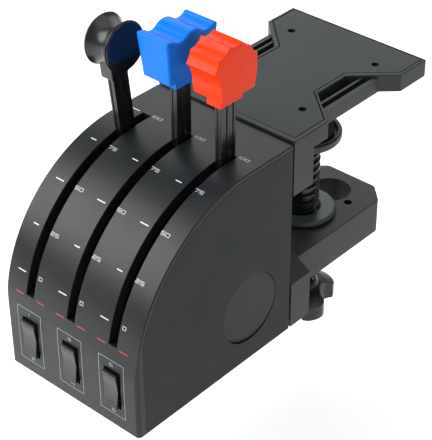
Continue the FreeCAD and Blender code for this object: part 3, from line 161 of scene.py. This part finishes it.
def plastic(name, base, rough=0.5, spec=0.5, grain=2600.0, depth=0.00003, strength=0.35, tint=0.10,
            rvar=0.05, edge=0.0003, sheen=0.0, coat=0.0, coat_rough=0.2, worn=0.0, cool=(1.0, 1.0, 1.0)):
    """Moulded plastic: a fine spark-eroded grain, cloudy colour and gloss, softly broken edges."""
    m, nt, b = new_mat(name)
    v = coords(nt)
    cloud = noise(nt, v, 38.0, 4.0, 0.6)
    fine = noise(nt, v, grain, 2.0, 0.6)
    speck = voronoi(nt, v, grain * 0.45)
    col = ramp(nt, cloud, [(0.30, scaled(base, 1.0 - tint)), (0.70, scaled((base[0] * cool[0], base[1] * cool[1], base[2] * cool[2]), 1.0 + tint))])
    col = mix_col(nt, mapr(nt, fine, 0.0, 0.22, 0.35, 0.7), col, scaled(base, 1.45))
    if worn:
        sc = noise(nt, coords(nt, (1, 1, 6)), 420.0, 3.0, 0.7)
        wm = mapr(nt, sc, 0.0, worn, 0.62, 0.74)
        col = mix_col(nt, wm, col, scaled((base[0] + 0.03, base[1] + 0.03, base[2] + 0.03), 1.3))
    nt.links.new(col, b.inputs["Base Color"])
    r = mathn(nt, "ADD", mapr(nt, cloud, rough - rvar, rough + rvar, 0.3, 0.7), mapr(nt, fine, -0.03, 0.03, 0.3, 0.7))
    nt.links.new(r, b.inputs["Roughness"])
    b.inputs["Specular IOR Level"].default_value = spec
    if sheen:
        b.inputs["Sheen Weight"].default_value = sheen
    if coat:
        b.inputs["Coat Weight"].default_value = coat
        b.inputs["Coat Roughness"].default_value = coat_rough
    h = mathn(nt, "ADD", fine, mathn(nt, "MULTIPLY", speck, 0.6))
    bump(nt, b, h, strength, depth, edge)
    return m


def metal(name, base, rough=0.3, axis=(1, 1, 1), lines=900.0, strength=0.15, tint=0.12, edge=0.0002):
    """Turned, drawn or plated metal: streaks along the worked direction."""
    m, nt, b = new_mat(name)
    v = coords(nt, axis)
    st = noise(nt, v, lines, 3.0, 0.65)
    cl = noise(nt, coords(nt), 90.0, 3.0, 0.6)
    col = ramp(nt, st, [(0.25, scaled(base, 1 - tint)), (0.75, scaled(base, 1 + tint))])
    col = mix_col(nt, mapr(nt, cl, 0.0, 0.35, 0.5, 0.75), col, scaled(base, 0.7))
    nt.links.new(col, b.inputs["Base Color"])
    b.inputs["Metallic"].default_value = 1.0
    nt.links.new(mathn(nt, "ADD", mapr(nt, st, -0.07, 0.07), mapr(nt, cl, rough - 0.05, rough + 0.08)), b.inputs["Roughness"])
    bump(nt, b, st, strength, 0.00002, edge)
    return m


def rubber(name, base, rough=0.75):
    m, nt, b = new_mat(name)
    v = coords(nt)
    cl = noise(nt, v, 120.0, 4.0, 0.6)
    fine = noise(nt, v, 3200.0, 3.0, 0.7)
    col = ramp(nt, cl, [(0.3, scaled(base, 0.8)), (0.62, scaled(base, 1.15)), (0.75, scaled(base, 1.9))])
    nt.links.new(col, b.inputs["Base Color"])
    nt.links.new(mapr(nt, cl, rough - 0.08, rough + 0.08), b.inputs["Roughness"])
    b.inputs["Specular IOR Level"].default_value = 0.35
    bump(nt, b, fine, 0.5, 0.00005, 0.0002)
    return m


def felt(name, base):
    m, nt, b = new_mat(name)
    v = coords(nt)
    w = noise(nt, v, 2200.0, 4.0, 0.75, 1.2)
    c = noise(nt, v, 160.0, 3.0, 0.6)
    col = ramp(nt, w, [(0.3, scaled(base, 0.55)), (0.7, scaled(base, 1.5))])
    col = mix_col(nt, mapr(nt, c, 0.0, 0.4, 0.45, 0.7), col, scaled(base, 0.6))
    nt.links.new(col, b.inputs["Base Color"])
    nt.links.new(mapr(nt, w, 0.9, 1.0), b.inputs["Roughness"])
    b.inputs["Specular IOR Level"].default_value = 0.1
    b.inputs["Sheen Weight"].default_value = 0.05
    bump(nt, b, w, 0.9, 0.0002)
    return m


def board(name, base):
    """Circuit board: solder mask with faint tracks and pads."""
    m, nt, b = new_mat(name)
    v = coords(nt)
    grid = voronoi(nt, coords(nt, (1.0, 1.0, 1.0)), 330.0, "DISTANCE_TO_EDGE", 0.35)
    tr = mapr(nt, grid, 1.0, 0.0, 0.02, 0.07)
    cl = noise(nt, v, 700.0, 3.0, 0.6)
    col = ramp(nt, cl, [(0.3, scaled(base, 0.8)), (0.7, scaled(base, 1.15))])
    col = mix_col(nt, tr, col, (base[0] * 1.2 + 0.02, base[1] * 1.9 + 0.03, base[2] * 1.6 + 0.02))
    nt.links.new(col, b.inputs["Base Color"])
    nt.links.new(mapr(nt, cl, 0.28, 0.42), b.inputs["Roughness"])
    b.inputs["Coat Weight"].default_value = 0.25
    b.inputs["Coat Roughness"].default_value = 0.15
    bump(nt, b, tr, 0.35, 0.00004, 0.0001)
    return m


def ink(name, base, rough=0.5):
    """Pad-printed ink: slightly uneven coverage."""
    m, nt, b = new_mat(name)
    v = coords(nt)
    n1 = noise(nt, v, 1400.0, 3.0, 0.6)
    n2 = noise(nt, v, 220.0, 2.0, 0.5)
    col = ramp(nt, n1, [(0.25, scaled(base, 0.86)), (0.6, base)])
    col = mix_col(nt, mapr(nt, n2, 0.0, 0.2, 0.5, 0.8), col, scaled(base, 0.8))
    nt.links.new(col, b.inputs["Base Color"])
    nt.links.new(mapr(nt, n1, rough - 0.06, rough + 0.08), b.inputs["Roughness"])
    bump(nt, b, n1, 0.25, 0.00002)
    return m


# ------------------------------------------------------------------ finishes
CHAR = (0.0172, 0.0206, 0.0204)
M = {}
M["cover"] = plastic("finish_cover", (0.0085, 0.0106, 0.0106), rough=0.38, spec=0.34, tint=0.10, rvar=0.03, cool=(0.97, 1.0, 1.02))
M["side"] = plastic("finish_side", (0.0080, 0.0112, 0.0111), rough=0.50, spec=0.22, tint=0.10, rvar=0.04)
M["cap"] = plastic("finish_cap", (0.0105, 0.0142, 0.0140), rough=0.48, spec=0.30, tint=0.08, rvar=0.03)
M["base"] = plastic("finish_base", (0.010, 0.011, 0.011), rough=0.62, spec=0.35, grain=1900.0, strength=0.5)
M["inner"] = plastic("finish_inner", (0.030, 0.030, 0.032), rough=0.6, spec=0.35, grain=1700.0, strength=0.4)
M["nylon"] = plastic("finish_nylon", (0.62, 0.60, 0.54), rough=0.42, spec=0.5, grain=900.0, strength=0.15, tint=0.06)
M["friction"] = rubber("finish_friction", (0.16, 0.075, 0.035), 0.8)
M["lever"] = plastic("finish_lever", (0.0055, 0.0058, 0.0070), rough=0.24, spec=0.5, grain=2200.0, strength=0.2, tint=0.12, rvar=0.05)
M["spool"] = plastic("finish_spool", (0.0070, 0.0080, 0.0088), rough=0.27, spec=0.5, grain=2400.0, strength=0.22, tint=0.1, rvar=0.04)
M["spool_cap"] = plastic("finish_spool_cap", (0.0050, 0.0056, 0.0075), rough=0.16, spec=0.55, grain=900.0, strength=0.06, tint=0.1, rvar=0.03)
M["blue"] = plastic("finish_blue", (0.0005, 0.175, 0.78), rough=0.30, spec=0.14, grain=1800.0, strength=0.15, tint=0.04, rvar=0.04, edge=0.0005)
M["red"] = plastic("finish_red", (0.88, 0.042, 0.003), rough=0.30, spec=0.14, grain=1800.0, strength=0.15, tint=0.04, rvar=0.04, edge=0.0004)
M["rocker"] = plastic("finish_rocker", (0.0055, 0.0066, 0.0064), rough=0.22, spec=0.62, grain=2400.0, strength=0.25, tint=0.1)
M["cradle"] = plastic("finish_cradle", (0.0025, 0.0025, 0.0030), rough=0.5, spec=0.2, grain=1900.0, strength=0.3)
M["pot"] = plastic("finish_pot_case", (0.012, 0.045, 0.12), rough=0.35, spec=0.5, grain=1200.0, strength=0.2)
M["chip"] = plastic("finish_chip", (0.008, 0.008, 0.009), rough=0.55, spec=0.4, grain=3000.0, strength=0.5)
M["switch"] = plastic("finish_switch", (0.008, 0.008, 0.009), rough=0.35, spec=0.5, grain=2000.0, strength=0.2)
M["bracket"] = plastic("finish_bracket", (0.0175, 0.0208, 0.0206), rough=0.50, spec=0.45, tint=0.10, rvar=0.04)
M["panel"] = plastic("finish_top_panel", (0.0130, 0.0168, 0.0168), rough=0.50, spec=0.40, tint=0.08, rvar=0.03)
M["arm"] = plastic("finish_arm", (0.0160, 0.0190, 0.0186), rough=0.52, spec=0.45, tint=0.10, rvar=0.04)
M["nut"] = plastic("finish_nut", (0.0420, 0.0500, 0.0550), rough=0.34, spec=0.5, grain=2300.0, strength=0.18, tint=0.1)
M["screw_body"] = plastic("finish_clamp_screw", (0.0070, 0.0082, 0.0082), rough=0.22, spec=0.5, grain=2000.0, strength=0.15, tint=0.12)
M["pad"] = plastic("finish_pad", (0.0150, 0.0178, 0.0178), rough=0.38, spec=0.5, grain=2300.0, strength=0.2)
M["knob"] = plastic("finish_clamp_knob", (0.0085, 0.0102, 0.0102), rough=0.30, spec=0.5, grain=2300.0, strength=0.2, tint=0.12)
M["rubber"] = rubber("finish_rubber", (0.012, 0.012, 0.013))
M["felt"] = felt("finish_felt", (0.0035, 0.0035, 0.0040))
M["steel"] = metal("finish_steel", (0.55, 0.55, 0.56), 0.28, (0.05, 1, 1), 1500.0)
M["spring"] = metal("finish_spring_steel", (0.12, 0.12, 0.125), 0.4, (1, 1, 1), 900.0)
M["screw_metal"] = metal("finish_black_zinc", (0.10, 0.10, 0.105), 0.36, (1, 1, 0.1), 1500.0)
M["zinc"] = metal("finish_zinc_plate", (0.52, 0.52, 0.50), 0.38, (1, 1, 1), 260.0, 0.1, 0.18)
M["brass"] = metal("finish_brass", (0.62, 0.44, 0.16), 0.26, (1, 0.1, 1), 1500.0)
M["plated"] = metal("finish_plated_shell", (0.62, 0.62, 0.62), 0.24, (0.2, 1, 1), 900.0)
M["board"] = board("finish_board", (0.006, 0.075, 0.028))
M["white_ink"] = ink("finish_white_ink", (0.78, 0.80, 0.79))
M["frame_ink"] = ink("finish_frame_ink", (0.36, 0.40, 0.38))
M["figure_ink"] = ink("finish_figure_ink", (0.72, 0.74, 0.74))
M["red_ink"] = ink("finish_red_ink", (0.50, 0.030, 0.025))

FINISH = {
    "curved_cover": "cover", "side_panel_left": "side", "side_panel_right": "side",
    "pivot_cap_left": "cap", "pivot_cap_right": "cap", "base_plate": "base", "rear_panel": "base",
    "housing_screws": "screw_metal", "pivot_shaft": "steel", "shaft_clips": "spring",
    "shaft_support_left": "inner", "shaft_support_right": "inner", "shaft_spacers": "nylon",
    "friction_washers": "friction", "throttle_lever": "lever", "propeller_lever": "lever", "mixture_lever": "lever",
    "throttle_knob": "spool", "throttle_knob_cap": "spool_cap", "propeller_knob": "blue", "mixture_knob": "red",
    "pot_pinion_1": "nylon", "pot_pinion_2": "nylon", "pot_pinion_3": "nylon",
    "potentiometer_1": "pot", "potentiometer_2": "pot", "potentiometer_3": "pot", "pot_brackets": "zinc",
    "slot_seal_1": "felt", "slot_seal_2": "felt", "slot_seal_3": "felt",
    "rocker_1": "rocker", "rocker_2": "rocker", "rocker_3": "rocker",
    "rocker_cradle_1": "cradle", "rocker_cradle_2": "cradle", "rocker_cradle_3": "cradle",
    "rocker_pins": "steel", "tact_switches": "switch", "switch_board": "board", "main_board": "board",
    "board_standoffs": "brass", "controller_chip": "chip", "inlet_socket": "plated", "chassis_screws": "screw_metal",
    "bracket_frame": "bracket", "bracket_top_panel": "panel", "desk_grip_pad": "rubber", "bracket_screws": "screw_metal",
    "clamp_arm": "arm", "arm_screws": "screw_metal", "flanged_nut": "nut", "nut_screws": "screw_metal",
    "clamp_screw": "screw_body", "pressure_pad": "pad", "pad_rubber": "rubber", "clamp_knob": "knob",
    "retaining_screws": "screw_metal",
}


# --------------------------------------------- smooth shading of the CAD nodes
def smooth_group():
    g = bpy.data.node_groups.new("soft_shading", "GeometryNodeTree")
    g.interface.new_socket("Geometry", in_out="INPUT", socket_type="NodeSocketGeometry")
    g.interface.new_socket("Geometry", in_out="OUTPUT", socket_type="NodeSocketGeometry")
    gi = g.nodes.new("NodeGroupInput")
    go = g.nodes.new("NodeGroupOutput")
    mg = g.nodes.new("GeometryNodeMergeByDistance")
    mg.inputs["Distance"].default_value = 2e-7
    s1 = g.nodes.new("GeometryNodeSetShadeSmooth")
    s1.domain = "FACE"
    s1.inputs["Shade Smooth"].default_value = True
    ea = g.nodes.new("GeometryNodeInputMeshEdgeAngle")
    cmp = g.nodes.new("FunctionNodeCompare")
    cmp.data_type = "FLOAT"
    cmp.operation = "GREATER_THAN"
    cmp.inputs[1].default_value = math.radians(24.0)
    s2 = g.nodes.new("GeometryNodeSetShadeSmooth")
    s2.domain = "EDGE"
    s2.inputs["Shade Smooth"].default_value = False
    g.links.new(gi.outputs[0], mg.inputs["Geometry"])
    g.links.new(mg.outputs["Geometry"], s1.inputs["Geometry"])
    g.links.new(s1.outputs["Geometry"], s2.inputs["Geometry"])
    g.links.new(ea.outputs["Unsigned Angle"], cmp.inputs[0])
    g.links.new(cmp.outputs["Result"], s2.inputs["Selection"])
    g.links.new(s2.outputs["Geometry"], go.inputs[0])
    return g


SOFT = smooth_group()
for name, obj in NODES.items():
    me = obj.data
    if "custom_normal" in me.attributes:
        me.attributes.remove(me.attributes["custom_normal"])
    me.materials.clear()
    me.materials.append(M[FINISH[name]])
    mod = obj.modifiers.new("soft_shading", "NODES")
    mod.node_group = SOFT


# ------------------------------------------------------------------ markings
def on_skin(x, s, h):
    """x across, s along the skin from the start of the curve (mm), h proud of it."""
    q = ARC_R / MM * math.pi / 2
    if s <= 0:
        return H(x, -h, ARC_Z / MM + s)
    if s >= q:
        return H(x, ARC_Y / MM + (s - q), TOP_Z / MM + h)
    a = s / (ARC_R / MM)
    r = ARC_R / MM + h
    return H(x, ARC_Y / MM - r * math.cos(a), ARC_Z / MM + r * math.sin(a))


INK_UP, INK_DOWN = 0.035, -0.12


def add_strip(bm, pts, width, closed=False, step=1.2):
    """A printed stroke of even width along pts (x, s in mm), mitred at its corners, as a thin closed solid."""
    n = len(pts)
    seq = []
    for i in range(n if closed else n - 1):
        a, b = Vector(pts[i]), Vector(pts[(i + 1) % n])
        k = max(1, int(math.ceil(abs(b.y - a.y) / step)))
        for j in range(k):
            seq.append((a.lerp(b, j / k), i, j))
    if not closed:
        seq.append((Vector(pts[-1]), n - 2, 0))
    left, right = [], []
    cnt = len(seq)
    for i, (p, _, _) in enumerate(seq):
        if closed:
            p0, p1 = seq[i - 1][0], seq[(i + 1) % cnt][0]
        else:
            p0 = seq[i - 1][0] if i else None
            p1 = seq[i + 1][0] if i < cnt - 1 else None
        d0 = (p - p0).normalized() if p0 is not None else None
        d1 = (p1 - p).normalized() if p1 is not None else None
        if d0 is None:
            d0 = d1
        if d1 is None:
            d1 = d0
        n0, n1 = Vector((-d0.y, d0.x)), Vector((-d1.y, d1.x))
        m = (n0 + n1).normalized()
        k = width / 2 / max(0.35, m.dot(n0))
        left.append(p + m * k)
        right.append(p - m * k)
    rows = []
    for l, r in zip(left, right):
        rows.append((bm.verts.new(on_skin(l.x, l.y, INK_UP)), bm.verts.new(on_skin(r.x, r.y, INK_UP)),
                     bm.verts.new(on_skin(r.x, r.y, INK_DOWN)), bm.verts.new(on_skin(l.x, l.y, INK_DOWN))))
    m = len(rows)
    for i in range(m if closed else m - 1):
        a, b = rows[i], rows[(i + 1) % m]
        for k in range(4):
            bm.faces.new((a[k], a[(k + 1) % 4], b[(k + 1) % 4], b[k]))
    if not closed:
        bm.faces.new(rows[0])
        bm.faces.new(tuple(reversed(rows[-1])))


def finish_piece(bm, name, mat, body):
    bmesh.ops.recalc_face_normals(bm, faces=bm.faces)
    me = bpy.data.meshes.new(name)
    bm.to_mesh(me)
    bm.free()
    o = bpy.data.objects.new(name, me)
    bpy.context.scene.collection.objects.link(o)
    me.materials.append(mat)
    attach(o, body)
    return o


# wide square figures, drawn as strokes on a unit cell 3.1 wide and 2.3 high
GW, GH = 2.75, 2.15
FIG = {
    "0": [([(0, 0), (GW, 0), (GW, GH), (0, GH)], True)],
    "1": [([(-0.55, GH - 0.45), (0.0, GH), (0.0, -0.22)], False)],
    "2": [([(0, GH), (GW, GH), (GW, GH / 2), (0, GH / 2), (0, 0), (GW + 0.22, 0)], False)],
    "3": [([(0, GH), (GW, GH), (GW, 0), (0, 0)], False), ([(0.5, GH / 2), (GW - 0.23, GH / 2)], False)],
    "4": [([(0, GH), (0, GH / 2), (GW - 0.23, GH / 2)], False), ([(GW, GH + 0.2), (GW, -0.22)], False)],
    "5": [([(GW + 0.22, GH), (0, GH), (0, GH / 2), (GW, GH / 2), (GW, 0), (0, 0)], False)],
    "6": [([(GW, GH), (0, GH), (0, 0), (GW, 0), (GW, GH / 2), (0.23, GH / 2)], False)],
    "7": [([(-0.2, GH), (GW, GH), (GW * 0.42, -0.22)], False)],
}
ADV = {"1": 1.25}


def figure_width(text):
    w = 0.0
    for i, c in enumerate(text):
        w += 0.0 if c == "1" else GW
        if i < len(text) - 1:
            w += 1.0 if c == "1" else 1.05
    return w


def add_figures(bm, text, xc, sc, size=1.0, weight=0.34):
    x = xc - figure_width(text) * size / 2
    for i, c in enumerate(text):
        for pts, closed in FIG[c]:
            add_strip(bm, [(x + px * size, sc + (py - GH / 2) * size) for px, py in pts], weight, closed, 0.9)
        x += (0.0 if c == "1" else GW * size) + (1.0 if c == "1" else 1.05) * size


SCALE = [("0", 35.9, 36.5, 7.0, 6.9), ("25", 67.9, 67.4, 4.7, 7.4), ("50", 99.9, 100.3, 7.0, 7.2),
         ("75", 134.8, 134.9, 4.7, 7.0), ("100", 174.3, 175.2, 7.0, 8.8)]
bm_tick, bm_fig, bm_red, bm_frame, bm_lab = (bmesh.new() for _ in range(5))
for i in range(3):
    s0 = PITCH / MM * (i - 1)
    for text, s_tick, s_fig, tick_len, fig_x in SCALE:
        xc = s0 - 10.0
        add_strip(bm_tick, [(xc - tick_len / 2, s_tick), (xc + tick_len / 2, s_tick)], 0.72)
        add_figures(bm_fig, text, s0 + fig_x, s_fig)
    for sx in (-1, 1):
        xc = s0 + sx * 9.45
        add_strip(bm_red, [(xc - 3.6, 20.3), (xc + 3.6, 20.3)], 0.8)
    fx = s0 - 0.6
    add_strip(bm_frame, [(fx - 10.8, -32.8), (fx + 10.8, -32.8), (fx + 10.8, 10.1), (fx - 10.8, 10.1)], 0.34, True, 1.5)
    add_figures(bm_lab, str(2 * i + 1), s0 - 0.6, 6.6, 0.95, 0.34)
    add_figures(bm_lab, str(2 * i + 2), s0 - 0.1, -29.9, 0.95, 0.34)
finish_piece(bm_tick, "scale_ticks", M["white_ink"], "quadrant")
finish_piece(bm_fig, "scale_figures", M["figure_ink"], "quadrant")
finish_piece(bm_red, "detent_dashes", M["red_ink"], "quadrant")
finish_piece(bm_frame, "rocker_frames", M["frame_ink"], "quadrant")
finish_piece(bm_lab, "rocker_figures", M["frame_ink"], "quadrant")


# --------------------------------------------------------- floor and lighting
def floor_material():
    m, nt, b = new_mat("studio_floor")
    v = coords(nt)
    n = noise(nt, v, 3.0, 3.0, 0.5)
    nt.links.new(ramp(nt, n, [(0.3, (0.93, 0.93, 0.93)), (0.7, (0.95, 0.95, 0.95))]), b.inputs["Base Color"])
    b.inputs["Roughness"].default_value = 0.9
    b.inputs["Specular IOR Level"].default_value = 0.1
    b.inputs["Emission Color"].default_value = (1.0, 1.0, 1.0, 1.0)
    b.inputs["Emission Strength"].default_value = 0.42
    return m


FLOOR_Z = H(0, 0, -108.0).z
bm = bmesh.new()
N, SPAN = 24, 6.0
grid = [[bm.verts.new((SPAN * (i / N - 0.5), SPAN * (j / N - 0.5), FLOOR_Z)) for j in range(N + 1)] for i in range(N + 1)]
for i in range(N):
    for j in range(N):
        bm.faces.new((grid[i][j], grid[i + 1][j], grid[i + 1][j + 1], grid[i][j + 1]))
me = bpy.data.meshes.new("studio_floor")
bm.to_mesh(me)
bm.free()
floor = bpy.data.objects.new("studio_floor", me)
me.materials.append(floor_material())
bpy.context.scene.collection.objects.link(floor)

world = bpy.data.worlds.new("studio")
bpy.context.scene.world = world
world.use_nodes = True
bg = world.node_tree.nodes["Background"]
bg.inputs["Color"].default_value = (0.96, 0.98, 1.0, 1.0)
bg.inputs["Strength"].default_value = 0.36


def area(name, direction, dist, size, power, color=(1, 1, 1), target=(0.0, -0.10, -0.06), size_y=None):
    d = bpy.data.lights.new(name, "AREA")
    d.energy = power
    d.color = color
    d.size = size
    if size_y:
        d.shape = "RECTANGLE"
        d.size_y = size_y
    o = bpy.data.objects.new(name, d)
    t = Vector(target)
    v = Vector(direction).normalized()
    o.location = t + v * dist
    o.rotation_euler = (-v).to_track_quat("-Z", "Y").to_euler()
    bpy.context.scene.collection.objects.link(o)
    return o


area("key", (-0.58, -0.64, 0.62), 1.5, 1.2, 24.0, (1.0, 1.0, 1.0), size_y=1.1)
area("rear_left", (-0.50, 0.65, 0.60), 1.8, 1.4, 8.0, (0.97, 0.99, 1.0))
area("top", (0.10, 0.10, 1.0), 2.5, 2.4, 20.0, (0.97, 0.99, 1.0))
area("fill_right", (0.9, -0.5, 0.25), 1.8, 1.0, 0.8, (0.98, 1.0, 1.0))

# --------------------------------------------------------------------- camera
AZ, EL, ROLL = math.radians(41.987), math.radians(35.125), math.radians(-0.412)
back = Vector((math.sin(AZ) * math.cos(EL), -math.cos(AZ) * math.cos(EL), math.sin(EL)))
right = Vector((math.cos(AZ), math.sin(AZ), 0.0))
up = back.cross(right)
right2 = right * math.cos(ROLL) + up * math.sin(ROLL)
up2 = -right * math.sin(ROLL) + up * math.cos(ROLL)
cam_d = bpy.data.cameras.new("camera")
cam_d.sensor_fit = "AUTO"
cam_d.sensor_width = 36.0
cam_d.lens = 1526.98 / 440.0 * 36.0
cam_d.clip_start, cam_d.clip_end = 0.05, 20.0
cam = bpy.data.objects.new("camera", cam_d)
loc = H(567.3, -491.3, 664.2)
cam.matrix_world = Matrix(((right2.x, up2.x, back.x, loc.x), (right2.y, up2.y, back.y, loc.y),
                           (right2.z, up2.z, back.z, loc.z), (0, 0, 0, 1)))
bpy.context.scene.collection.objects.link(cam)
bpy.context.scene.camera = cam
bpy.context.scene.view_settings.view_transform = "Standard"
bpy.context.scene.view_settings.look = "None"
